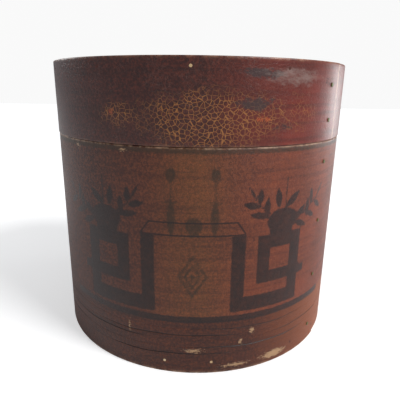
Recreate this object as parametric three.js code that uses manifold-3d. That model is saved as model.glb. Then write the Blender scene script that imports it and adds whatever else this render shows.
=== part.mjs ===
// Round lacquered hat box of bent wood, with a deep lid that lifts off an inner collar.
// Millimetres, +Z up. The origin is the middle of the underside, and the painted front faces -Y.
// A bearing is measured in degrees from the front, and grows towards +X, the viewer's right.
import * as THREE from "three";
import { mergeVertices } from "three/addons/utils/BufferGeometryUtils.js";
import Module from "manifold-3d";

const wasm = await Module();
wasm.setup();

// Driving dimensions of the body
const bodyDiameter = 340;
const bodyHeight = 234.6;
const bodyWall = 6;
const footRecess = 9;
const footHoopThickness = 6;
const baseBoardThickness = 9;

// Driving dimensions of the lid
const lidHeight = 76;
const lidOverhang = 0.5;
const lidBoardRecess = 4;
const lidBoardThickness = 8.5;

// The collar is a hoop glued inside the body. The lid slides over the part that stands proud.
const collarThickness = 4;
const collarRise = 28;
const collarDepth = 50;

// Each band is one strip, bent round until its outer end laps over its inner end.
const lapBearing = 57.3;
const lapStep = 1;
const lapTaper = 25;

// Boards are three planks, edge to edge, with dowels across the joints.
const middlePlankWidth = 112;
const dowelDiameter = 5;
const dowelDepth = 12;
const dowelSpread = 140;

// Pegs hold the boards in the bands.
const pegDiameter = 3;
const pegDepth = 10;
const basePegCount = 22;
const basePegBearing = -9.5;
const lidPegCount = 12;
const lidPegBearing = -1;

// Nails hold the laps.
const nailHeadDiameter = 4;
const nailHeadThickness = 0.9;
const nailShankDiameter = 1.6;
const nailSetback = 17.5;
const nailMargin = 21;
const lidNailCount = 2;
const bodyNailCount = 4;

// Clearances: a seated or glued piece, the lid on its collar, and the lid's edge over the rim
const seatGap = 0.3;
const lidClearance = 0.8;
const seamGap = 0.3;

// Facets of a band, of a plank's arc, and of a peg or nail
const bandFacets = 120;
const arcFacets = 40;
const pinFacets = 8;

// Sizes that follow
const bodyRadius = bodyDiameter / 2;
const bodyBore = bodyRadius - bodyWall;
const collarRadius = bodyBore - seatGap;
const lidRadius = bodyRadius + lidOverhang;
const lidBore = collarRadius + lidClearance;
const baseBoardRadius = bodyBore - seatGap;
const lidBoardRadius = lidBore - seatGap;
const lidBoardUnderside = lidHeight - lidBoardRecess - lidBoardThickness;
const nailSeat = nailHeadThickness * 0.55;
const ringAngle = THREE.MathUtils.degToRad(360 / bandFacets);

const materials = {
  bodyLacquer: finish(0x5a2412, 0.38),
  lidLacquer: finish(0x4a1c16, 0.35),
  darkLacquer: finish(0x26130f, 0.45),
  collarWood: finish(0x6b4529, 0.6),
  plainWood: finish(0x8a6844, 0.75),
  pegBamboo: finish(0xb08a58, 0.7),
  oldBrass: finish(0x6f7a4e, 0.5, 0.7),
};

function finish(color, roughness, metalness = 0) {
  return new THREE.MeshStandardMaterial({ color, roughness, metalness });
}

// A point at a bearing, on a circle in plan
function onCircle(bearing, radius) {
  const turn = THREE.MathUtils.degToRad(bearing);
  return new THREE.Vector2(radius * Math.sin(turn), -radius * Math.cos(turn));
}

function solidOf(geometry) {
  const bare = geometry.clone();
  bare.deleteAttribute("normal");
  bare.deleteAttribute("uv");
  const merged = mergeVertices(bare, 1e-4);
  return new wasm.Manifold(
    new wasm.Mesh({
      numProp: 3,
      vertProperties: merged.attributes.position.array,
      triVerts: new Uint32Array(merged.index.array),
    }),
  );
}

function geometryOf(solid) {
  const mesh = solid.getMesh();
  const geometry = new THREE.BufferGeometry();
  geometry.setAttribute("position", new THREE.BufferAttribute(mesh.vertProperties, 3));
  geometry.setIndex(new THREE.BufferAttribute(mesh.triVerts, 1));
  geometry.computeVertexNormals();
  return geometry;
}

// Cuts every tool out of a geometry
function cut(geometry, tools) {
  const left = tools.reduce((solid, tool) => solid.subtract(solidOf(tool)), solidOf(geometry));
  return geometryOf(left);
}

function extrude(shape, height, curveSegments = arcFacets) {
  return new THREE.ExtrudeGeometry(shape, { depth: height, bevelEnabled: false, curveSegments });
}

function addTo(group, name, geometry, material, z = 0) {
  const mesh = new THREE.Mesh(geometry, material);
  mesh.name = name;
  mesh.position.z = z;
  group.add(mesh);
  return mesh;
}

// The radius of a lapped band. Past its outer end the surface is one step lower, and it rises
// back to the full radius over the taper that the strip's inner end was pared to.
function lappedRadius(radius, past) {
  return radius - lapStep * Math.max(0, 1 - past / lapTaper);
}

// A bent strip, lapped at lapBearing, with a round bore
function lappedBand(radius, bore, height) {
  const outline = [];
  const inside = [];
  for (let i = 0; i <= bandFacets; i++) {
    const past = (360 * i) / bandFacets;
    const full = i === bandFacets ? radius : lappedRadius(radius, past);
    outline.push(onCircle(lapBearing + past, full));
    if (i < bandFacets) inside.push(onCircle(lapBearing + past, bore));
  }
  const shape = new THREE.Shape(outline);
  shape.holes.push(new THREE.Path(inside));
  return extrude(shape, height);
}

// A plain hoop whose facets line up with the bands'
function hoop(radius, thickness, height) {
  const circle = (r) =>
    Array.from({ length: bandFacets }, (_, i) => onCircle(lapBearing + (360 * i) / bandFacets, r));
  const shape = new THREE.Shape(circle(radius));
  shape.holes.push(new THREE.Path(circle(radius - thickness)));
  return extrude(shape, height);
}

// The part of a round board between two lines across it, from y0 to y1
function plank(radius, y0, y1, thickness) {
  const low = Math.asin(Math.max(-1, y0 / radius));
  const high = Math.asin(Math.min(1, y1 / radius));
  const shape = new THREE.Shape();
  shape.absarc(0, 0, radius, low, high, false);
  shape.absarc(0, 0, radius, Math.PI - high, Math.PI - low, false);
  return extrude(shape, thickness);
}

// Stands a pin, made along +Y, with its axis pointing out from the centre at a bearing
function aimOut(object, bearing, radius, z) {
  const spot = onCircle(bearing, radius);
  object.rotation.z = THREE.MathUtils.degToRad(bearing + 180);
  object.position.set(spot.x, spot.y, z);
  object.updateMatrix();
  return object;
}

// The same place for a tool that cuts the hole
function toolAt(geometry, bearing, radius, z) {
  const holder = aimOut(new THREE.Object3D(), bearing, radius, z);
  return geometry.applyMatrix4(holder.matrix);
}

function pin(radius, length, middle = 0) {
  return new THREE.CylinderGeometry(radius, radius, length, pinFacets).translate(0, middle, 0);
}

// Bearings of pegs spaced evenly round the box
function evenBearings(count, first) {
  return Array.from({ length: count }, (_, i) => first + (360 * i) / count);
}

// Pegs driven in from outside, through a band and into a board's edge, and the holes they fill
function pegRow(bandRadius, boardRadius, bearings, z) {
  const inner = boardRadius - pegDepth;
  const pegs = bearings.map((bearing) => {
    const outer = lappedRadius(bandRadius, (bearing - lapBearing + 720) % 360);
    return { bearing, outer, length: outer - inner, middle: (outer + inner) / 2, z };
  });
  const holes = pegs.map(({ bearing }) =>
    toolAt(
      pin(pegDiameter / 2 + seatGap, bandRadius + 1 - inner + seatGap),
      bearing,
      (bandRadius + 1 + inner - seatGap) / 2,
      z,
    ),
  );
  return { pegs, holes };
}

function addPegs(group, name, row) {
  row.pegs.forEach(({ bearing, length, middle, z }, i) => {
    const peg = addTo(group, `${name}_${i + 1}`, pin(pegDiameter / 2, length), materials.pegBamboo);
    aimOut(peg, bearing, middle, z);
  });
}

// Nails through a lap. The head stands proud of the surface and sits in a shallow seat, and the
// shank stops short of the bore, so that it can't catch on what the band holds.
function nailRow(bandRadius, bore, count, height) {
  const bearing = lapBearing - THREE.MathUtils.radToDeg(nailSetback / bandRadius);
  const seat = bandRadius * Math.cos(ringAngle / 2) - nailSeat;
  const headFoot = seat + seatGap;
  const tip = bore + seatGap;
  const shank = pin(nailShankDiameter / 2, headFoot - tip, (headFoot + tip) / 2);
  const head = pin(nailHeadDiameter / 2, nailHeadThickness, headFoot + nailHeadThickness / 2);
  const nail = geometryOf(solidOf(shank).add(solidOf(head)));
  const room = 1;
  const shankHole = pin(
    nailShankDiameter / 2 + seatGap,
    bandRadius + room - bore + room,
    (bandRadius + bore) / 2,
  );
  const headSeat = pin(
    nailHeadDiameter / 2 + seatGap,
    bandRadius + room - seat,
    (bandRadius + room + seat) / 2,
  );
  const step = count > 1 ? (height - 2 * nailMargin) / (count - 1) : 0;
  const heights = Array.from({ length: count }, (_, i) => nailMargin + i * step);
  const holes = heights.flatMap((z) =>
    [shankHole, headSeat].map((tool) => toolAt(tool.clone(), bearing, 0, z)),
  );
  return { nail, bearing, heights, holes };
}

function addNails(group, name, row) {
  row.heights.forEach((z, i) => {
    const nail = addTo(group, `${name}_${i + 1}`, row.nail, materials.oldBrass);
    aimOut(nail, row.bearing, 0, z);
  });
}

// A round board of three planks, with its dowels. underside is the height of its lower face.
function addBoard(group, name, radius, thickness, underside, material, pegHoles) {
  const joint = middlePlankWidth / 2;
  const edge = joint + seatGap / 2;
  const spans = {
    front: [-radius, -edge],
    middle: [seatGap / 2 - joint, joint - seatGap / 2],
    back: [edge, radius],
  };
  const dowels = [];
  for (const [side, y] of [["front", -joint], ["back", joint]]) {
    for (const [hand, x] of [["left", -dowelSpread / 2], ["right", dowelSpread / 2]]) {
      dowels.push({ label: `${side}_${hand}`, x, y });
    }
  }
  const middle = thickness / 2;
  const socket = pin(dowelDiameter / 2 + seatGap, 2 * (dowelDepth + seatGap));
  const holes = dowels.map(({ x, y }) => socket.clone().translate(x, y, middle));
  const lowered = pegHoles.map((hole) => hole.clone().translate(0, 0, -underside));
  for (const [place, [y0, y1]] of Object.entries(spans)) {
    const blank = plank(radius, y0, y1, thickness);
    addTo(group, `${name}_${place}`, cut(blank, [...holes, ...lowered]), material, underside);
  }
  const dowel = pin(dowelDiameter / 2, 2 * dowelDepth);
  for (const { label, x, y } of dowels) {
    const mesh = addTo(group, `${name}_dowel_${label}`, dowel, materials.pegBamboo);
    mesh.position.set(x, y, underside + middle);
  }
}

// The body stands on its band and foot hoop, and holds the base board and the collar.
function makeBody() {
  const body = new THREE.Group();
  const baseMiddle = footRecess + baseBoardThickness / 2;
  const bearings = evenBearings(basePegCount, basePegBearing);
  const pegs = pegRow(bodyRadius, baseBoardRadius, bearings, baseMiddle);
  const nails = nailRow(bodyRadius, bodyBore, bodyNailCount, bodyHeight);
  const band = lappedBand(bodyRadius, bodyBore, bodyHeight);
  addTo(body, "body_wall", cut(band, [...pegs.holes, ...nails.holes]), materials.bodyLacquer);

  const footHoop = hoop(bodyBore - seatGap, footHoopThickness, footRecess - seatGap);
  addTo(body, "foot_hoop", footHoop, materials.plainWood);

  const collar = hoop(collarRadius, collarThickness, collarDepth + collarRise);
  addTo(body, "collar", collar, materials.collarWood, bodyHeight - collarDepth);

  addBoard(
    body,
    "base_board",
    baseBoardRadius,
    baseBoardThickness,
    footRecess,
    materials.plainWood,
    pegs.holes,
  );
  addPegs(body, "base_peg", pegs);
  addNails(body, "body_lap_nail", nails);
  return body;
}

// The lid is modelled from its lower edge up, and stands on the rim.
function makeLid() {
  const lid = new THREE.Group();
  lid.position.z = bodyHeight + seamGap;
  const boardMiddle = lidBoardUnderside + lidBoardThickness / 2;
  const bearings = evenBearings(lidPegCount, lidPegBearing);
  const pegs = pegRow(lidRadius, lidBoardRadius, bearings, boardMiddle);
  const nails = nailRow(lidRadius, lidBore, lidNailCount, lidHeight);
  const band = lappedBand(lidRadius, lidBore, lidHeight);
  addTo(lid, "lid_wall", cut(band, [...pegs.holes, ...nails.holes]), materials.lidLacquer);

  addBoard(
    lid,
    "lid_board",
    lidBoardRadius,
    lidBoardThickness,
    lidBoardUnderside,
    materials.lidLacquer,
    pegs.holes,
  );
  addPegs(lid, "lid_peg", pegs);
  addNails(lid, "lid_lap_nail", nails);
  return lid;
}

const hatBox = new THREE.Group();
hatBox.add(makeBody(), makeLid());

export default hatBox;
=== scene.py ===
"""Round lacquered hat box with a painted front and a lid that lifts off.

Everything is in metres, +Z up, and the painted front faces -Y. A bearing is an angle round the
box from the front, growing towards +X. An arc is the same angle as a length on the outer wall.
"""

from math import cos, pi, radians, sin

import bpy
import numpy as np
from mathutils import Matrix, Vector


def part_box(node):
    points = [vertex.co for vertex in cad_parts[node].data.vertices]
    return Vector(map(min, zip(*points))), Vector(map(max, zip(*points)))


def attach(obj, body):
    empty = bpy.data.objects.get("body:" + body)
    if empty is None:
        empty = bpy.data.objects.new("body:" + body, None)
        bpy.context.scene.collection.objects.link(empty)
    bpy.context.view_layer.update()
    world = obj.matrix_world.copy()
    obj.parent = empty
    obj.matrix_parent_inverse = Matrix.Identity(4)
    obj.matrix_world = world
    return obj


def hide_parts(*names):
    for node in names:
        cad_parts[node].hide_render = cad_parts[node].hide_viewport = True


bl_info = {
    "name": "Lacquered Hat Box",
    "version": (1, 0, 0),
    "blender": (4, 5, 0),
    "location": "View3D > Sidebar > Hat Box",
    "description": "Dresses a round lacquered hat box with its painting, wear and stage",
    "category": "Object",
}

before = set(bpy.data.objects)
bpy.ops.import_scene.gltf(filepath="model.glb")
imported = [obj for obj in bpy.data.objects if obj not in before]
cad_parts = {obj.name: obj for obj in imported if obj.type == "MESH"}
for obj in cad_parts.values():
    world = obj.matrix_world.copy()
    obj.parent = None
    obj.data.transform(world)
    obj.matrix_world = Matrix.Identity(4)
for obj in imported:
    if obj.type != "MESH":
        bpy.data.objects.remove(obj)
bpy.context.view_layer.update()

MM = 0.001
WALL_LOW, WALL_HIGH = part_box("body_wall")
LID_LOW, LID_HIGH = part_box("lid_wall")
BODY_RADIUS = 170 * MM
LID_RADIUS = 170.5 * MM
WALL_BORE = 164 * MM
LID_BORE = 164.5 * MM
HOOP_RADIUS = WALL_BORE - 0.3 * MM
HOOP_SWELL = 0.1 * MM
COLLAR_THICKNESS = 4 * MM
FOOT_THICKNESS = 6 * MM
SKIN_INSET = 0.05 * MM

# The lap of each band: where it is, how deep its step is, the length of its pared end, and the
# width of the step's own face
LAP_BEARING = radians(57.3)
LAP_STEP = 1 * MM
LAP_TAPER = radians(25)
LAP_FACE = radians(0.03)

# Heights of the painted panel's borders and of the cracks along the grain below it
PANEL_FOOT = 63
PANEL_HEAD = 231.5
CRACK_HEIGHTS = (52, 44, 39, 30, 22)

# The cracks' section, and how far lines along the grain stray, in mm, with the phase of the stray
CRACK_HALF_WIDTH = 0.8
CRACK_DEPTH = 0.45
GRAIN_STRAY = 0.9
GRAIN_PHASE = 0.7

# Lines along the grain run level this near an edge of the band, and stray in full from there on
EDGE_LEVEL = 4 * MM
EDGE_FREE = 12 * MM

# How far the outside of a band sways in and out, with the phase of the sway
SWAY = 0.12 * MM
SWAY_PHASE = 2.3

# Fineness of the walls' and hoops' grids, and the depth of the lacquer's relief
WALL_COLUMNS = 640
BODY_ROW = 2.05 * MM
LID_ROW = 1.6 * MM
INSIDE_ROWS = 8
HOOP_COLUMNS = 240
HOOP_ROWS = 12
ARRIS_STEPS = 3
SHARP_ANGLE = radians(50)
LACQUER_RELIEF = 0.25 * MM

# Distances in mm to the painting are kept up to this far from its edge
PAINT_REACH = 12
STALK_WIDTH = 1.8


def colour(painted_light_right, green, blue):
    """A colour given as it looks on screen, from 0 to 255, turned into linear light."""
    shown = np.array([painted_light_right, green, blue]) / 255
    linear = np.where(shown <= 0.04045, shown / 12.92, ((shown + 0.055) / 1.055) ** 2.4)
    return (*(float(v) for v in linear), 1.0)


# The body's ground darkens to the left as painted shade and turns lighter and more orange to the
# right as painted light
GROUND_LEFT_PAINTED_SHADE = colour(60, 28, 22)
GROUND_MIDDLE = colour(104, 50, 28)
GROUND_RIGHT_PAINTED_LIGHT = colour(136, 56, 30)
GROUND_GOLD = colour(108, 68, 30)
PAINT = colour(30, 13, 11)
FAINT_PAINT = colour(50, 34, 18)
# The lid is greyer and darker to the left as painted shade and a painted greyish reflection, and
# lighter and redder to the right as painted light
LID_LEFT_PAINTED_SHADE_AND_HAZE = colour(60, 31, 30)
LID_MIDDLE = colour(62, 27, 21)
LID_RIGHT_PAINTED_LIGHT = colour(120, 38, 28)
GROUND_DEEP = colour(52, 20, 14)
GROUND_SPECK = colour(168, 90, 48)
FINE_CRACK = colour(58, 26, 18)
FOOT_BROWN = colour(68, 26, 13)
FOOT_DEEP = colour(32, 11, 7)
FOOT_SPECK = colour(132, 66, 28)
# The foot band turns a lighter orange to the right as painted light
FOOT_PAINTED_LIGHT = colour(140, 70, 30)
GRAIN_CRACK = colour(20, 9, 7)
BODY_WORN = colour(186, 150, 122)
BODY_INSIDE = colour(52, 24, 18)
BARE_WOOD = colour(178, 140, 104)
LID_DEEP = colour(40, 17, 15)
LID_SPECK = colour(128, 60, 42)
LID_HAIRLINE = colour(112, 82, 74)
LID_WORN = colour(180, 132, 104)
LID_INSIDE = colour(50, 22, 18)
OCHRE = colour(160, 104, 54)
ORANGE = colour(198, 92, 40)
RESIDUE = colour(48, 36, 36)
BLOOM = colour(150, 132, 124)


def smooth(low, high, value):
    """A smooth step from 0 at low to 1 at high."""
    t = np.clip((value - low) / (high - low), 0, 1)
    return t * t * (3 - 2 * t)


def patch(arc, height, middle, reach):
    """A soft round patch: 1 at its middle, falling as a bell over its reach."""
    across = (arc - middle[0]) / reach[0]
    up = (height - middle[1]) / reach[1]
    return np.exp(-(across**2) - up**2)


def box_distance(arc, height, left, right, low, high):
    """Distance to a rectangle's edge, negative inside: the larger of the two overhangs."""
    across = np.abs(arc - (left + right) / 2) - (right - left) / 2
    up = np.abs(height - (low + high) / 2) - (high - low) / 2
    outside = np.hypot(np.maximum(across, 0), np.maximum(up, 0))
    return outside + np.minimum(np.maximum(across, up), 0)


def leaf_distance(arc, height, start, end, width):
    """Distance to a leaf from start to end: to its axis, less a half width that swells midway."""
    along = np.subtract(end, start)
    length = np.hypot(*along)
    t = ((arc - start[0]) * along[0] + (height - start[1]) * along[1]) / length**2
    t = np.clip(t, 0, 1)
    away = np.hypot(arc - start[0] - t * along[0], height - start[1] - t * along[1])
    return away - width / 2 * (0.25 + 0.75 * np.sin(pi * t))


def stroke_distance(arc, height, start, end, width):
    """Distance to a straight brush stroke of one width."""
    along = np.subtract(end, start)
    t = ((arc - start[0]) * along[0] + (height - start[1]) * along[1]) / np.hypot(*along) ** 2
    t = np.clip(t, 0, 1)
    return np.hypot(arc - start[0] - t * along[0], height - start[1] - t * along[1]) - width / 2


def oval_distance(arc, height, middle, size):
    """Distance to an oval: its stretched radius less one, times its smaller half size."""
    half = np.divide(size, 2)
    stretched = np.hypot((arc - middle[0]) / half[0], (height - middle[1]) / half[1])
    return (stretched - 1) * min(half)


# The key-fret foot, to one side of the table, as rectangles: left, right, low, high in mm
FRET = {
    "leg": (37.5, 51.5, 70, 152),
    "foot_bar": (37.5, 118, 70, 86),
    "outer_post": (103.5, 118, 70, 149),
    "top_bar": (64.5, 118, 135, 149),
    "inner_post": (64.5, 78.5, 98, 149),
    "inner_bar": (64.5, 120, 98, 111),
    "knob": (118, 128, 99, 108),
}
# Leaves of the bowl on the fret, each from its stalk to its tip
LEAVES = (
    ((64, 181), (65, 195), 7),
    ((64, 178), (48, 182), 7),
    ((52, 199), (61, 184), 3),
    ((76, 168), (55, 171), 7),
    ((72, 168), (73, 186), 7),
    ((86, 176), (84, 194), 8),
    ((95, 175), (111, 189), 8),
    ((108, 160), (122, 173), 7),
    ((108, 158), (126, 151), 7),
    ((126, 160), (127, 180), 6),
    ((126, 165), (140, 158), 6),
    ((133, 172), (132, 189), 6),
    ((138, 175), (152, 166), 6),
    ((141, 175), (154, 193), 3),
)
STALKS = (
    ((80, 168), (64, 180)),
    ((96, 168), (126, 164)),
    ((118, 165), (142, 177)),
    ((94, 172), (94, 204)),
)
BOWL = ((92, 162), (38, 25))
BOWL_FOOT = (77, 105, 148, 155)

# The table's slab in mm: the height of its middle, half its depth and length there, and how far
# its ends slope in for each mm up
SLAB_MIDDLE = 158.3
SLAB_HALF_DEPTH = 6.3
SLAB_HALF_LENGTH = 47
SLAB_SLOPE = 0.7

# Ovals where the lacquer has flaked off to pale ground: their middle and size in mm
FLAKES = (
    ((45.5, 7.5), (25, 4)),
    ((92, 9), (30, 8)),
    ((50.8, 34.8), (2.4, 5)),
    ((63.2, 45.7), (4.5, 7)),
    ((2, 27), (15, 4)),
    ((-67, 46), (2, 8)),
    ((-67, 230), (5, 3)),
    ((-128, 229), (5, 3)),
)


def union(parts):
    """The distance to the nearest of several shapes."""
    return np.minimum.reduce(list(parts))


def side_motif(arc, height):
    """The fret, bowl and leaves on the right of the table."""
    shapes = [box_distance(arc, height, *edges) for edges in FRET.values()]
    shapes.append(oval_distance(arc, height, *BOWL))
    shapes.append(box_distance(arc, height, *BOWL_FOOT))
    shapes += [leaf_distance(arc, height, *leaf) for leaf in LEAVES]
    shapes += [stroke_distance(arc, height, *stalk, STALK_WIDTH) for stalk in STALKS]
    return union(shapes)


def dark_motif(arc, height):
    """Distance in mm to the dark painting: both side motifs and the border under them."""
    border = box_distance(arc, height, -152, 169, PANEL_FOOT - 3.5, PANEL_FOOT + 3.5)
    return union([side_motif(arc, height), side_motif(-arc, height), border])


def slab_motif(arc, height):
    """Distance in mm to the table's slab, a bar whose ends slope in towards its top."""
    rise = height - SLAB_MIDDLE
    up = np.abs(rise) - SLAB_HALF_DEPTH
    slope = (np.abs(arc) - SLAB_HALF_LENGTH + rise * SLAB_SLOPE) / np.hypot(1, SLAB_SLOPE)
    return np.maximum(up, slope)


def faint_motif(arc, height):
    """Distance in mm to the olive painting: candlesticks, burner and the lozenge ornament."""
    shapes = [np.abs(height - PANEL_HEAD) - 2.5]
    for side in (-1, 1):
        x = side * 20.5
        shapes.append(oval_distance(arc, height, (x, 210), (9, 14)))
        shapes.append(stroke_distance(arc, height, (x, 184), (x, 206), 1.6))
        shapes.append(leaf_distance(arc, height, (x, 152), (x, 186), 8))
        shapes.append(stroke_distance(arc, height, (x - 5, 184), (x + 5, 184), 2))
    shapes.append(oval_distance(arc, height, (1, 162), (16, 16)))
    shapes.append(box_distance(arc, height, -4, 6, 151, 156))
    lozenge = np.abs(arc) / 15 + np.abs(height - 110) / 23
    shapes.append((np.abs(lozenge - 0.9) - 0.1) * 12)
    shapes.append((np.abs(lozenge - 0.5) - 0.09) * 12)
    shapes.append((lozenge - 0.2) * 12)
    return union(shapes)


def flake_motif(arc, height):
    """Distance in mm to the places where the lacquer has flaked off."""
    return union(oval_distance(arc, height, *flake) for flake in FLAKES)


def wander(bearing, height, phase):
    """How far a line along the grain strays: a sum of waves that close round the box."""
    slow = np.sin(3 * bearing + phase + height * 40) + 0.6 * np.sin(7 * bearing + 2 * phase)
    return slow + 0.3 * np.sin(19 * bearing + 3 * phase + height * 90)


def add_mesh(name, vertices, quads, attributes, material):
    """A mesh object from arrays of points and four-sided faces, with float point attributes."""
    mesh = bpy.data.meshes.new(name)
    mesh.vertices.add(len(vertices))
    mesh.vertices.foreach_set("co", vertices.astype(np.float32).ravel())
    mesh.loops.add(quads.size)
    mesh.loops.foreach_set("vertex_index", quads.astype(np.int32).ravel())
    mesh.polygons.add(len(quads))
    mesh.polygons.foreach_set("loop_start", np.arange(len(quads), dtype=np.int32) * 4)
    mesh.update(calc_edges=True)
    for label, values in attributes.items():
        layer = mesh.attributes.new(label, "FLOAT", "POINT")
        layer.data.foreach_set("value", values.astype(np.float32).ravel())
    mesh.shade_smooth()
    mesh.set_sharp_from_angle(angle=SHARP_ANGLE)
    mesh.materials.append(material)
    mesh.validate()
    piece = bpy.data.objects.new(name, mesh)
    bpy.context.scene.collection.objects.link(piece)
    return piece


def sweep(name, bearings, radius, height, attributes, material):
    """A closed ring: the section's points at (radius, height), turned to each bearing."""
    columns, points = radius.shape
    turn = bearings[:, None]
    x = radius * np.sin(turn)
    y = -radius * np.cos(turn)
    vertices = np.stack([x, y, height], axis=-1).reshape(-1, 3)
    here = np.arange(columns * points).reshape(columns, points)
    beside = np.roll(here, -1, axis=0)
    above = np.roll(here, -1, axis=1)
    across = np.roll(beside, -1, axis=1)
    quads = np.stack([here, beside, across, above], axis=-1).reshape(-1, 4)
    return add_mesh(name, vertices, quads, attributes, material)


def section(outer, bore, low, high, rows, arris):
    """A wall's section: up the outside, over the rounded rim, down the inside and back.

    Returns radius, height, and 1 where the point is on the inside of the wall.
    """
    quarter = np.linspace(0, pi / 2, ARRIS_STEPS + 1)[1:]
    up = np.array(sorted(set(rows)))
    over_outer = (outer - arris + arris * np.cos(quarter), high - arris + arris * np.sin(quarter))
    over_inner = (bore + arris - arris * np.sin(quarter), high - arris + arris * np.cos(quarter))
    down = np.linspace(high - 2 * arris, low + 2 * arris, INSIDE_ROWS)
    under_inner = (bore + arris - arris * np.cos(quarter), low + arris - arris * np.sin(quarter))
    under_outer = (outer - arris + arris * np.sin(quarter), low + arris - arris * np.cos(quarter))
    radius = np.concatenate(
        [
            np.full(len(up), outer),
            over_outer[0],
            over_inner[0],
            np.full(len(down), bore),
            under_inner[0],
            under_outer[0],
        ]
    )
    height = np.concatenate(
        [up, over_outer[1], over_inner[1], down, under_inner[1], under_outer[1]]
    )
    outside = len(up) + len(quarter)
    inside = np.zeros(len(radius))
    inside[outside : len(radius) - len(quarter)] = 1
    return radius, height, inside


def banded_wall(name, outer, bore, low, high, columns, spacing, arris, cracks, paint, material):
    """A lapped band: its outer radius steps in by LAP_STEP past the lap and returns over
    LAP_TAPER, and V-shaped cracks run along the grain at the heights given."""
    rows = list(np.arange(low + arris, high - arris, spacing))
    sides = (-CRACK_HALF_WIDTH, 0, CRACK_HALF_WIDTH)
    rows += [crack * MM + side * MM for crack in cracks for side in sides]
    radius, height, inside = section(outer - SKIN_INSET, bore, low, high, rows, arris)
    past = np.linspace(0, 2 * pi - LAP_FACE, columns)
    bearings = LAP_BEARING + past
    step = LAP_STEP * np.maximum(0, 1 - past / LAP_TAPER)
    turn = bearings[:, None]
    flat_height = np.broadcast_to(height, (columns, len(height)))
    loose = smooth(low + EDGE_LEVEL, low + EDGE_FREE, height)
    loose = loose * smooth(high - EDGE_LEVEL, high - EDGE_FREE, height) * (1 - inside)
    strayed = flat_height + loose * wander(turn, height, GRAIN_PHASE) * GRAIN_STRAY * MM
    depth = np.zeros_like(flat_height)
    for number, crack in enumerate(cracks):
        strength = 0.35 + 0.65 * smooth(-0.6, 0.6, np.sin(4 * turn + number * 2.1))
        at_crack = np.abs(height - crack * MM) < 0.1 * MM
        depth = depth + strength * at_crack * CRACK_DEPTH * MM
    sway = SWAY * wander(turn, height, SWAY_PHASE)
    shift = (step[:, None] + depth + np.maximum(0, sway) * 0.5) * (1 - inside)
    swept = np.broadcast_to(radius, flat_height.shape) - shift
    arc = (np.remainder(turn + pi, 2 * pi) - pi) * outer / MM
    arc = np.broadcast_to(arc, flat_height.shape)
    attributes = paint(arc, strayed / MM)
    attributes["inside"] = np.broadcast_to(inside, flat_height.shape)
    return sweep(name, bearings, swept, strayed, attributes, material)


class Finish:
    """A procedural material, written as a chain of small steps on Object coordinates."""

    def __init__(self, name):
        self.material = bpy.data.materials.new(name)
        self.material.use_nodes = True
        self.nodes = self.material.node_tree.nodes
        self.links = self.material.node_tree.links
        self.shader = self.nodes["Principled BSDF"]
        self.place = self.nodes.new("ShaderNodeTexCoord").outputs["Object"]

    def feed(self, socket, value):
        """Sets a socket to a number or colour, or links it to another socket."""
        if isinstance(value, bpy.types.NodeSocket):
            self.links.new(value, socket)
        else:
            socket.default_value = value

    def stretch(self, scale):
        """Object coordinates, scaled along each axis."""
        node = self.nodes.new("ShaderNodeMapping")
        node.inputs["Scale"].default_value = scale
        self.links.new(self.place, node.inputs["Vector"])
        return node.outputs["Vector"]

    def noise(self, scale, detail=4.0, rough=0.55, stretch=(1, 1, 1), twist=0.0):
        """Cloudy noise of about scale spots to a metre, stretched along the axes."""
        node = self.nodes.new("ShaderNodeTexNoise")
        self.links.new(self.stretch(stretch), node.inputs["Vector"])
        node.inputs["Scale"].default_value = scale
        node.inputs["Detail"].default_value = detail
        node.inputs["Roughness"].default_value = rough
        node.inputs["Distortion"].default_value = twist
        return node.outputs["Fac"]

    def crackle(self, size, stretch=(1, 1, 1)):
        """Distance to the edge of cells of about the size given in metres."""
        node = self.nodes.new("ShaderNodeTexVoronoi")
        node.feature = "DISTANCE_TO_EDGE"
        self.links.new(self.stretch(stretch), node.inputs["Vector"])
        node.inputs["Scale"].default_value = 1 / size
        return node.outputs["Distance"]

    def attribute(self, name):
        """A value that the mesh carries at its points."""
        node = self.nodes.new("ShaderNodeAttribute")
        node.attribute_name = name
        return node.outputs["Fac"]

    def height(self):
        """Height above the surface that the box stands on, in metres."""
        node = self.nodes.new("ShaderNodeSeparateXYZ")
        self.links.new(self.place, node.inputs[0])
        return node.outputs["Z"]

    def math(self, operation, first, second=0.0):
        """One step of arithmetic on one or two values."""
        node = self.nodes.new("ShaderNodeMath")
        node.operation = operation
        self.feed(node.inputs[0], first)
        self.feed(node.inputs[1], second)
        return node.outputs[0]

    def span(self, value, low, high, start=0.0, end=1.0):
        """Maps low..high to start..end and stops there."""
        node = self.nodes.new("ShaderNodeMapRange")
        self.feed(node.inputs["Value"], value)
        node.inputs["From Min"].default_value = low
        node.inputs["From Max"].default_value = high
        node.inputs["To Min"].default_value = start
        node.inputs["To Max"].default_value = end
        return node.outputs["Result"]

    def mix(self, amount, first, second):
        """The first colour where amount is 0, and the second where it is 1."""
        node = self.nodes.new("ShaderNodeMix")
        node.data_type = "RGBA"
        self.feed(node.inputs[0], amount)
        self.feed(node.inputs[6], first)
        self.feed(node.inputs[7], second)
        return node.outputs[2]

    def bump(self, value, distance, strength=1.0):
        """Fine relief: value times distance, in metres."""
        node = self.nodes.new("ShaderNodeBump")
        node.inputs["Strength"].default_value = strength
        node.inputs["Distance"].default_value = distance
        self.links.new(value, node.inputs["Height"])
        self.links.new(node.outputs["Normal"], self.shader.inputs["Normal"])

    def finish(self, base, rough):
        """Puts the colour and roughness on the shader, and gives the material."""
        self.feed(self.shader.inputs["Base Color"], base)
        self.feed(self.shader.inputs["Roughness"], rough)
        return self.material


def opaque(shade):
    """A colour from the settings, with full alpha."""
    return (*shade, 1.0)


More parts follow.
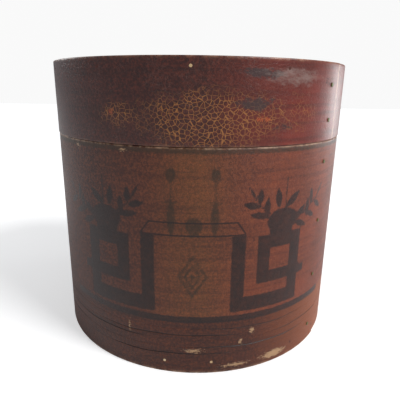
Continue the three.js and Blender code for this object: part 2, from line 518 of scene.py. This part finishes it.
def mottled(f, base, dark, light):
    """Broad and fine mottle over a base colour, and streaks along the grain."""
    broad = f.span(f.noise(22, 5, 0.6), 0.38, 0.62)
    fine = f.span(f.noise(420, 3, 0.7), 0.42, 0.66)
    streak = f.span(f.noise(9, 5, 0.65, (1, 1, 26)), 0.46, 0.62)
    base = f.mix(f.math("MULTIPLY", broad, 0.4), base, dark)
    base = f.mix(f.math("MULTIPLY", fine, 0.42), base, light)
    return f.mix(f.math("MULTIPLY", streak, 0.35), base, dark)


def body_lacquer(looks):
    """Brown lacquer with painted shade to the left and painted light to the right, fine cracks,
    dark painting, olive painting and flakes.
    """
    f = Finish("aged_body_lacquer")
    ground = f.mix(f.attribute("clear_of_left_painted_shade"), GROUND_LEFT_PAINTED_SHADE, opaque(looks.ground))
    ground = f.mix(f.attribute("painted_light_right"), ground, GROUND_RIGHT_PAINTED_LIGHT)
    ground = f.mix(f.attribute("gold"), ground, GROUND_GOLD)
    ground = mottled(f, ground, GROUND_DEEP, GROUND_SPECK)
    fine = f.span(f.crackle(looks.fine_crackle, (1, 1, 1.4)), 0.02, 0.14)
    in_crack = f.math("SUBTRACT", 1.0, fine)
    ground = f.mix(f.math("MULTIPLY", in_crack, 0.45), ground, FINE_CRACK)
    below = f.span(f.height(), (PANEL_FOOT + 0.5) * MM, (PANEL_FOOT - 2.5) * MM)
    brown = mottled(f, FOOT_BROWN, FOOT_DEEP, FOOT_SPECK)
    brown = f.mix(f.attribute("painted_light_on_foot"), brown, FOOT_PAINTED_LIGHT)
    ground = f.mix(below, ground, brown)
    ragged = f.math("MULTIPLY", f.math("SUBTRACT", f.noise(520, 3, 0.7), 0.5), 3.4)
    dark = f.span(f.math("ADD", f.attribute("dark"), ragged), 0.6, -0.6)
    rubbed = f.span(f.noise(150, 5, 0.75), 0.3, 0.72, 1.0, 0.72)
    dark = f.math("MULTIPLY", dark, rubbed)
    line = f.math("ABSOLUTE", f.math("ADD", f.attribute("slab"), f.math("MULTIPLY", ragged, 0.25)))
    line = f.span(line, 1.1, 0.5, 0.0, 0.85)
    faint = f.span(f.math("ADD", f.attribute("faint"), ragged), 0.9, -0.9)
    faint = f.math("MULTIPLY", faint, f.span(f.noise(240, 4, 0.8), 0.34, 0.6, 0.5, 0.9))
    shade = f.mix(faint, ground, FAINT_PAINT)
    shade = f.mix(f.math("MAXIMUM", dark, line), shade, opaque(looks.paint))
    torn = f.math("MULTIPLY", f.math("SUBTRACT", f.noise(300, 5, 0.8, (1, 1, 2)), 0.5), 14.0)
    flake = f.span(f.math("ADD", f.attribute("flake"), torn), 0.3, -0.5)
    shade = f.mix(flake, shade, BARE_WOOD)
    crack = f.span(f.attribute("crack"), 0.5, 0.92)
    shade = f.mix(crack, shade, GRAIN_CRACK)
    worn = f.math("MULTIPLY", f.attribute("rim"), f.span(f.noise(120, 5, 0.7), 0.42, 0.6))
    shade = f.mix(worn, shade, BODY_WORN)
    shade = f.mix(f.attribute("inside"), shade, BODY_INSIDE)
    rough = f.span(dark, 0.0, 1.0, 0.42, 0.33)
    grain = f.math("MULTIPLY", f.noise(300, 4, 0.6), 0.6)
    relief = f.math("ADD", f.math("MULTIPLY", fine, 0.5), grain)
    relief = f.math("SUBTRACT", relief, f.math("MULTIPLY", flake, 1.2))
    f.bump(relief, LACQUER_RELIEF, 0.7)
    return f.finish(shade, rough)


def lid_lacquer(looks):
    """Maroon lacquer with painted shade and a painted greyish reflection to the left, painted light
    making it redder to the right, ochre cracks, dark residue and dull bloom.
    """
    f = Finish("aged_lid_lacquer")
    base = f.mix(f.attribute("clear_of_left_painted_shade"), LID_LEFT_PAINTED_SHADE_AND_HAZE, LID_MIDDLE)
    base = f.mix(f.attribute("painted_light_right"), base, opaque(looks.lid))
    base = mottled(f, base, LID_DEEP, LID_SPECK)
    edge = f.crackle(looks.coarse_crackle, (1, 1, 1.1))
    lines = f.span(edge, 0.065, 0.02)
    gate = f.span(f.math("ADD", f.attribute("crazed"), f.noise(90, 4, 0.7)), 0.78, 1.15)
    base = f.mix(f.math("MULTIPLY", lines, gate), base, OCHRE)
    hair = f.span(f.crackle(looks.coarse_crackle * 0.7), 0.05, 0.01)
    hazy = f.span(f.noise(40, 4, 0.6), 0.4, 0.62, 0.0, 0.5)
    base = f.mix(f.math("MULTIPLY", hair, hazy), base, LID_HAIRLINE)
    orange = f.span(f.math("ADD", f.attribute("orange"), f.noise(170, 5, 0.75)), 0.9, 1.15)
    base = f.mix(orange, base, ORANGE)
    dirt = f.math("ADD", f.attribute("residue"), f.noise(130, 6, 0.8, (1, 1, 1.8)))
    dirt = f.span(dirt, 0.84, 0.96)
    base = f.mix(f.math("MULTIPLY", dirt, 0.8), base, RESIDUE)
    bloom = f.math("ADD", f.attribute("bloom"), f.noise(75, 6, 0.75, (1, 1, 2.2)))
    bloom = f.span(bloom, 0.8, 1.05)
    base = f.mix(f.math("MULTIPLY", bloom, 0.5), base, BLOOM)
    worn = f.math("MULTIPLY", f.attribute("rim"), f.span(f.noise(90, 5, 0.7), 0.4, 0.6))
    base = f.mix(worn, base, LID_WORN)
    base = f.mix(f.attribute("inside"), base, LID_INSIDE)
    rough = f.span(f.math("MAXIMUM", dirt, bloom), 0.0, 1.0, 0.36, 0.55)
    relief = f.math("MULTIPLY", f.span(edge, 0.0, 0.06), 0.3)
    relief = f.math("ADD", relief, f.math("MULTIPLY", f.noise(260, 4, 0.6), 0.8))
    f.bump(relief, LACQUER_RELIEF, 0.7)
    return f.finish(base, rough)


def timber(name, pale, deep, stretch, rough=0.6):
    """Wood: fine streaks along the grain and slow bands between two colours."""
    f = Finish(name)
    grain = f.noise(60, 6, 0.65, stretch, 0.6)
    bands = f.span(f.noise(14, 4, 0.6, stretch, 1.2), 0.35, 0.65)
    base = f.mix(bands, pale, deep)
    base = f.mix(f.span(grain, 0.45, 0.7, 0.0, 0.6), base, deep)
    spots = f.span(f.noise(35, 4), 0.55, 0.75, 0.0, 0.4)
    base = f.mix(spots, base, colour(60, 40, 28))
    f.bump(grain, 0.15 * MM, 0.5)
    return f.finish(base, f.span(grain, 0.3, 0.7, rough - 0.08, rough + 0.1))


def verdigris():
    """Old brass, green where it has corroded."""
    f = Finish("old_brass_verdigris")
    patchy = f.span(f.noise(500, 5, 0.7), 0.4, 0.6)
    base = f.mix(patchy, colour(112, 92, 52), colour(116, 132, 96))
    f.shader.inputs["Metallic"].default_value = 0.5
    f.bump(f.noise(900, 4), 0.1 * MM, 0.6)
    return f.finish(base, f.span(patchy, 0, 1, 0.4, 0.75))


def ramp(arc, start, end):
    """0 before start and 1 after end, falling back to 0 behind the box, where the arc wraps."""
    return np.clip((arc - start) / (end - start), 0, 1) * smooth(420, 240, arc)


def body_marks(arc, height):
    """The point attributes of the body's wall, from arc and height in mm."""
    bearing = arc * MM / BODY_RADIUS
    crack = np.zeros_like(arc)
    for number, place in enumerate(CRACK_HEIGHTS):
        strength = 0.4 + 0.6 * smooth(-0.6, 0.6, np.sin(4 * bearing + number * 2.1))
        strayed = place + wander(bearing, place * MM, GRAIN_PHASE) * GRAIN_STRAY
        crack = np.maximum(crack, strength * np.exp(-(((height - strayed) / 0.9) ** 2)))
    rim = np.exp(-(((height - WALL_HIGH[2] / MM) / 1.2) ** 2))
    rim = np.maximum(rim, 0.8 * np.exp(-((height / 1.8) ** 2)))
    motifs = {"dark": dark_motif, "slab": slab_motif, "faint": faint_motif, "flake": flake_motif}
    distances = {
        label: np.clip(motif(arc, height), -PAINT_REACH, PAINT_REACH)
        for label, motif in motifs.items()
    }
    return {
        **distances,
        "crack": crack,
        "rim": rim,
        # Painted shade: the ground darkens towards the left
        "clear_of_left_painted_shade": ramp(arc, -110, 10),
        # Painted light: the ground turns lighter and more orange towards the right
        "painted_light_right": ramp(arc, 15, 150),
        "gold": 0.65 * np.clip((48 - np.abs(arc)) / 40, 0, 1),
        # Painted light: the foot band lightens towards the right
        "painted_light_on_foot": ramp(arc, 60, 175),
    }


# Soft patches of wear on the lid: their weight, middle and reach, in mm of arc and height
CRAZED = ((1, (5, 258), (50, 26)), (0.7, (-75, 262), (22, 12)), (0.45, (95, 262), (60, 24)))
DIRTY = (
    (1, (55, 272), (30, 9)),
    (1, (60, 298), (34, 7)),
    (0.8, (85, 252), (20, 6)),
    (0.8, (148, 292), (16, 8)),
)
BLOOMED = ((1, (95, 296), (52, 11)),)
RUBBED = ((1, (62, 259), (16, 5)), (1, (-78, 264), (9, 5)))


def patches(arc, height, places, strength=1.0):
    """The sum of soft patches, stopped at 1, times a strength."""
    total = sum(weight * patch(arc, height, middle, reach) for weight, middle, reach in places)
    return np.clip(total, 0, 1) * strength


def lid_marks(arc, height):
    """The point attributes of the lid's wall, from arc and height in mm."""
    rim = np.exp(-(((height - LID_HIGH[2] / MM) / 1.3) ** 2)) * (0.6 + 0.4 * smooth(20, 90, arc))
    rim = np.maximum(rim, 0.45 * np.exp(-(((height - LID_LOW[2] / MM) / 1.0) ** 2)))
    lap = LAP_BEARING * LID_RADIUS / MM
    rim = np.maximum(rim, 0.9 * np.exp(-(((arc - lap + 1.2) / 1.6) ** 2)))
    return {
        "crazed": patches(arc, height, CRAZED),
        "residue": patches(arc, height, DIRTY, 0.55),
        "bloom": patches(arc, height, BLOOMED, 0.5),
        "orange": patches(arc, height, RUBBED, 0.5),
        "rim": rim,
        # Painted shade and a painted greyish reflection towards the left, painted light towards the
        # right
        "clear_of_left_painted_shade": ramp(arc, -60, 20),
        "painted_light_right": ramp(arc, 10, 90),
    }


class HatBoxLooks(bpy.types.PropertyGroup):
    """Sizes and colours that a user may want to change."""

    ground: bpy.props.FloatVectorProperty(
        name="Ground",
        description="Colour of the body's lacquer at the front",
        subtype="COLOR",
        size=3,
        default=GROUND_MIDDLE[:3],
    )
    paint: bpy.props.FloatVectorProperty(
        name="Painting",
        description="Colour of the dark painting",
        subtype="COLOR",
        size=3,
        default=PAINT[:3],
    )
    # The lid's colour on its right side, where it is lighter and redder as painted light
    lid: bpy.props.FloatVectorProperty(
        name="Lid",
        description="Colour of the lid's lacquer on the right",
        subtype="COLOR",
        size=3,
        default=LID_RIGHT_PAINTED_LIGHT[:3],
    )
    fine_crackle: bpy.props.FloatProperty(
        name="Fine cracks",
        description="Distance between the fine cracks on the body",
        default=1.7 * MM,
        unit="LENGTH",
    )
    coarse_crackle: bpy.props.FloatProperty(
        name="Coarse cracks",
        description="Distance between the coarse cracks on the lid",
        default=4.2 * MM,
        unit="LENGTH",
    )
    arris: bpy.props.FloatProperty(
        name="Worn arris",
        description="Radius that the edges of the bands are worn to",
        default=0.9 * MM,
        unit="LENGTH",
    )
    sun: bpy.props.FloatProperty(
        name="Key light",
        description="Strength of the soft light from the right",
        default=2.5,
    )


class HATBOX_OT_body_wall(bpy.types.Operator):
    """Make the body's painted wall"""

    bl_idname = "hatbox.body_wall"
    bl_label = "Body wall"

    def execute(self, context):
        looks = context.scene.hat_box
        piece = banded_wall(
            "painted_body_wall",
            BODY_RADIUS,
            WALL_BORE,
            WALL_LOW[2],
            WALL_HIGH[2],
            WALL_COLUMNS,
            BODY_ROW,
            looks.arris,
            CRACK_HEIGHTS,
            body_marks,
            body_lacquer(looks),
        )
        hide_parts("body_wall")
        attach(piece, "body")
        return {"FINISHED"}


class HATBOX_OT_lid_wall(bpy.types.Operator):
    """Make the lid's lacquered wall"""

    bl_idname = "hatbox.lid_wall"
    bl_label = "Lid wall"

    def execute(self, context):
        looks = context.scene.hat_box
        piece = banded_wall(
            "lacquered_lid_wall",
            LID_RADIUS,
            LID_BORE,
            LID_LOW[2],
            LID_HIGH[2],
            WALL_COLUMNS,
            LID_ROW,
            looks.arris,
            (),
            lid_marks,
            lid_lacquer(looks),
        )
        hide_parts("lid_wall")
        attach(piece, "lid")
        return {"FINISHED"}


class HATBOX_OT_hoops(bpy.types.Operator):
    """Make the collar that the lid slides over, and the hoop under the base board"""

    bl_idname = "hatbox.hoops"
    bl_label = "Collar and foot hoop"

    def execute(self, context):
        looks = context.scene.hat_box
        arris = looks.arris
        along = (1, 1, 14)
        bentwood = timber("bent_collar_wood", colour(122, 78, 46), colour(74, 40, 24), along, 0.5)
        bare = timber("bare_hoop_wood", colour(150, 116, 80), colour(104, 74, 48), along, 0.75)
        hoops = (
            ("bent_collar", "collar", COLLAR_THICKNESS, bentwood, "collar_wood"),
            ("bent_foot_hoop", "foot_hoop", FOOT_THICKNESS, bare, "plain_wood"),
        )
        for name, node, thickness, material, slot in hoops:
            low, high = (corner[2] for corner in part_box(node))
            rows = np.linspace(low + 2 * arris, high - 2 * arris, HOOP_ROWS)
            bore = HOOP_RADIUS - thickness
            radius, height, _ = section(HOOP_RADIUS, bore, low, high, rows, arris)
            bearings = np.linspace(0, 2 * pi, HOOP_COLUMNS, endpoint=False)
            shape = (HOOP_COLUMNS, len(radius))
            swell = HOOP_SWELL * np.abs(np.sin(5 * bearings[:, None]))
            radii = np.broadcast_to(radius, shape) - swell
            piece = sweep(name, bearings, radii, np.broadcast_to(height, shape), {}, material)
            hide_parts(node)
            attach(piece, "body")
        return {"FINISHED"}


class HATBOX_OT_boards(bpy.types.Operator):
    """Finish the planks of both boards and their dowels"""

    bl_idname = "hatbox.boards"
    bl_label = "Boards and dowels"

    def execute(self, context):
        bare = timber("bare_board_wood", colour(156, 122, 84), colour(108, 78, 50), (1, 9, 9), 0.75)
        bamboo = timber("dowel_bamboo", colour(196, 158, 104), colour(150, 112, 66), (9, 1, 9), 0.6)
        top = timber("lid_board_lacquer", colour(96, 40, 32), colour(54, 24, 20), (1, 9, 9), 0.36)
        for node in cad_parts:
            if "dowel" in node:
                dress(node, bamboo)
            elif node.startswith("base_board"):
                dress(node, bare)
            elif node.startswith("lid_board"):
                dress(node, top)
        return {"FINISHED"}


class HATBOX_OT_pegs_and_nails(bpy.types.Operator):
    """Finish the pegs, bare or lacquered over, and the nails of the laps"""

    bl_idname = "hatbox.pegs_and_nails"
    bl_label = "Pegs and nails"

    def execute(self, context):
        bare = timber("bare_peg_bamboo", colour(226, 200, 158), colour(186, 150, 106), (1, 1, 3))
        lacquered = timber("lacquered_peg", colour(98, 40, 24), colour(60, 24, 16), (1, 1, 3), 0.4)
        brass = verdigris()
        bare_heads = {"base_peg_1", "base_peg_2", "lid_peg_1"}
        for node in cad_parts:
            if "_peg_" in node:
                dress(node, bare if node in bare_heads else lacquered)
            elif "_nail_" in node:
                dress(node, brass)
        return {"FINISHED"}


def dress(node, material):
    """Puts a material on a part that comes with the frame."""
    piece = bpy.data.objects[node]
    for slot in piece.material_slots:
        slot.material = material


# The camera: its bearing in degrees, where it stands and how it is turned
CAMERA_BEARING = 1.5
CAMERA_DISTANCE = 507.3 * MM
CAMERA_HEIGHT = 284.6 * MM
CAMERA_PITCH = radians(16.06)
CAMERA_YAW = radians(-0.315)
CAMERA_ROLL = radians(0.825)
CAMERA_LENS = 34.88
SENSOR_WIDTH = 36
PICTURE_SIDE = 400

# The stage: half the floor's side, its grey, how far it is lifted to white, and the soft room
FLOOR_REACH = 6.0
FLOOR_GREY = 0.86
FLOOR_LIFT = 0.42
ROOM_COLOUR = (0.92, 0.95, 1.0, 1)
ROOM_STRENGTH = 0.3
BACKDROP_GREY = 0.95

# The lamps, which face the middle of the box: the key's place and angular size, and each strip's
# strength, place and size. A place is a bearing in degrees, a distance and a height.
LAMP_TARGET = (0, 0, 0.15)
KEY_PLACE = (62, 2, 1.7)
KEY_ANGLE = radians(24)
STRIPS = {
    "left_strip": (1.6, (-112, 0.9, 0.62), (0.25, 0.3)),
    "right_strip": (1.2, (118, 0.9, 0.25), (0.2, 0.25)),
}


def on_ring(bearing, distance, height):
    """A point at a bearing in degrees, a distance from the axis and a height."""
    turn = radians(bearing)
    return Vector((distance * sin(turn), -distance * cos(turn), height))


def hang(lamp, place):
    """Hangs a lamp at its place and turns it to the box."""
    holder = bpy.data.objects.new(lamp.name, lamp)
    holder.location = on_ring(*place)
    aim = Vector(LAMP_TARGET) - holder.location
    holder.rotation_euler = aim.to_track_quat("-Z", "Y").to_euler()
    bpy.context.scene.collection.objects.link(holder)


def add_lamps(key_strength):
    """The soft sun from the right, and the two strips that glance off the sides."""
    key = bpy.data.lights.new("key_sun", "SUN")
    key.energy = key_strength
    key.angle = KEY_ANGLE
    hang(key, KEY_PLACE)
    for name, (strength, place, size) in STRIPS.items():
        strip = bpy.data.lights.new(name, "AREA")
        strip.energy = strength
        strip.shape = "RECTANGLE"
        strip.size, strip.size_y = size
        hang(strip, place)


def add_floor(material):
    """The square floor that the box stands on."""
    reach = FLOOR_REACH
    corners = [(-reach, -reach, 0), (reach, -reach, 0), (reach, reach, 0), (-reach, reach, 0)]
    mesh = bpy.data.meshes.new("floor")
    mesh.from_pydata(corners, [], [(0, 1, 2, 3)])
    mesh.materials.append(material)
    floor = bpy.data.objects.new("floor", mesh)
    bpy.context.scene.collection.objects.link(floor)


def stage_white():
    """Pale floor: diffuse, and lifted towards white where the camera sees it."""
    material = bpy.data.materials.new("stage_white")
    material.use_nodes = True
    nodes = material.node_tree.nodes
    links = material.node_tree.links
    shader = nodes["Principled BSDF"]
    shader.inputs["Base Color"].default_value = (FLOOR_GREY, FLOOR_GREY, FLOOR_GREY, 1)
    shader.inputs["Roughness"].default_value = 1.0
    shader.inputs["Specular IOR Level"].default_value = 0.0
    shader.inputs["Emission Color"].default_value = (1, 1, 1, 1)
    path = nodes.new("ShaderNodeLightPath")
    lift = nodes.new("ShaderNodeMath")
    lift.operation = "MULTIPLY"
    lift.inputs[1].default_value = FLOOR_LIFT
    links.new(path.outputs["Is Camera Ray"], lift.inputs[0])
    links.new(lift.outputs[0], shader.inputs["Emission Strength"])
    return material


class HATBOX_OT_stage(bpy.types.Operator):
    """Set the floor, lamps, surroundings and camera"""

    bl_idname = "hatbox.stage"
    bl_label = "Stage"

    def execute(self, context):
        scene = context.scene
        add_floor(stage_white())
        add_lamps(scene.hat_box.sun)

        world = bpy.data.worlds.new("soft_room")
        world.use_nodes = True
        nodes = world.node_tree.nodes
        room = nodes["Background"]
        room.inputs["Color"].default_value = ROOM_COLOUR
        room.inputs["Strength"].default_value = ROOM_STRENGTH
        white = nodes.new("ShaderNodeBackground")
        white.inputs["Color"].default_value = (BACKDROP_GREY, BACKDROP_GREY, BACKDROP_GREY, 1)
        path = nodes.new("ShaderNodeLightPath")
        blend = nodes.new("ShaderNodeMixShader")
        links = world.node_tree.links
        links.new(path.outputs["Is Camera Ray"], blend.inputs[0])
        links.new(room.outputs[0], blend.inputs[1])
        links.new(white.outputs[0], blend.inputs[2])
        links.new(blend.outputs[0], nodes["World Output"].inputs["Surface"])
        scene.world = world

        lens = bpy.data.cameras.new("camera")
        lens.lens = CAMERA_LENS
        lens.sensor_width = SENSOR_WIDTH
        lens.clip_start = 0.01
        camera = bpy.data.objects.new("camera", lens)
        place = on_ring(CAMERA_BEARING, CAMERA_DISTANCE, CAMERA_HEIGHT)
        turn = Matrix.Rotation(radians(CAMERA_BEARING) + CAMERA_YAW, 4, "Z")
        tilt = Matrix.Rotation(pi / 2 - CAMERA_PITCH, 4, "X")
        roll = Matrix.Rotation(CAMERA_ROLL, 4, "Z")
        camera.matrix_world = Matrix.Translation(place) @ turn @ tilt @ roll
        scene.collection.objects.link(camera)
        scene.camera = camera

        scene.render.engine = "CYCLES"
        scene.render.resolution_x = PICTURE_SIDE
        scene.render.resolution_y = PICTURE_SIDE
        scene.view_settings.view_transform = "Standard"
        return {"FINISHED"}


STEPS = (
    HATBOX_OT_body_wall,
    HATBOX_OT_lid_wall,
    HATBOX_OT_hoops,
    HATBOX_OT_boards,
    HATBOX_OT_pegs_and_nails,
    HATBOX_OT_stage,
)


class HATBOX_PT_panel(bpy.types.Panel):
    """The hat box's sizes, colours and steps"""

    bl_idname = "HATBOX_PT_panel"
    bl_label = "Hat Box"
    bl_space_type = "VIEW_3D"
    bl_region_type = "UI"
    bl_category = "Hat Box"

    def draw(self, context):
        looks = context.scene.hat_box
        for name in ("ground", "paint", "lid", "fine_crackle", "coarse_crackle", "arris", "sun"):
            self.layout.prop(looks, name)
        for step in STEPS:
            self.layout.operator(step.bl_idname)


CLASSES = (HatBoxLooks, *STEPS, HATBOX_PT_panel)


def register():
    for item in CLASSES:
        bpy.utils.register_class(item)
    bpy.types.Scene.hat_box = bpy.props.PointerProperty(type=HatBoxLooks)


def unregister():
    del bpy.types.Scene.hat_box
    for item in reversed(CLASSES):
        bpy.utils.unregister_class(item)


def main():
    register()
    bpy.ops.hatbox.body_wall()
    bpy.ops.hatbox.lid_wall()
    bpy.ops.hatbox.hoops()
    bpy.ops.hatbox.boards()
    bpy.ops.hatbox.pegs_and_nails()
    bpy.ops.hatbox.stage()


if __name__ == "__main__":
    main()
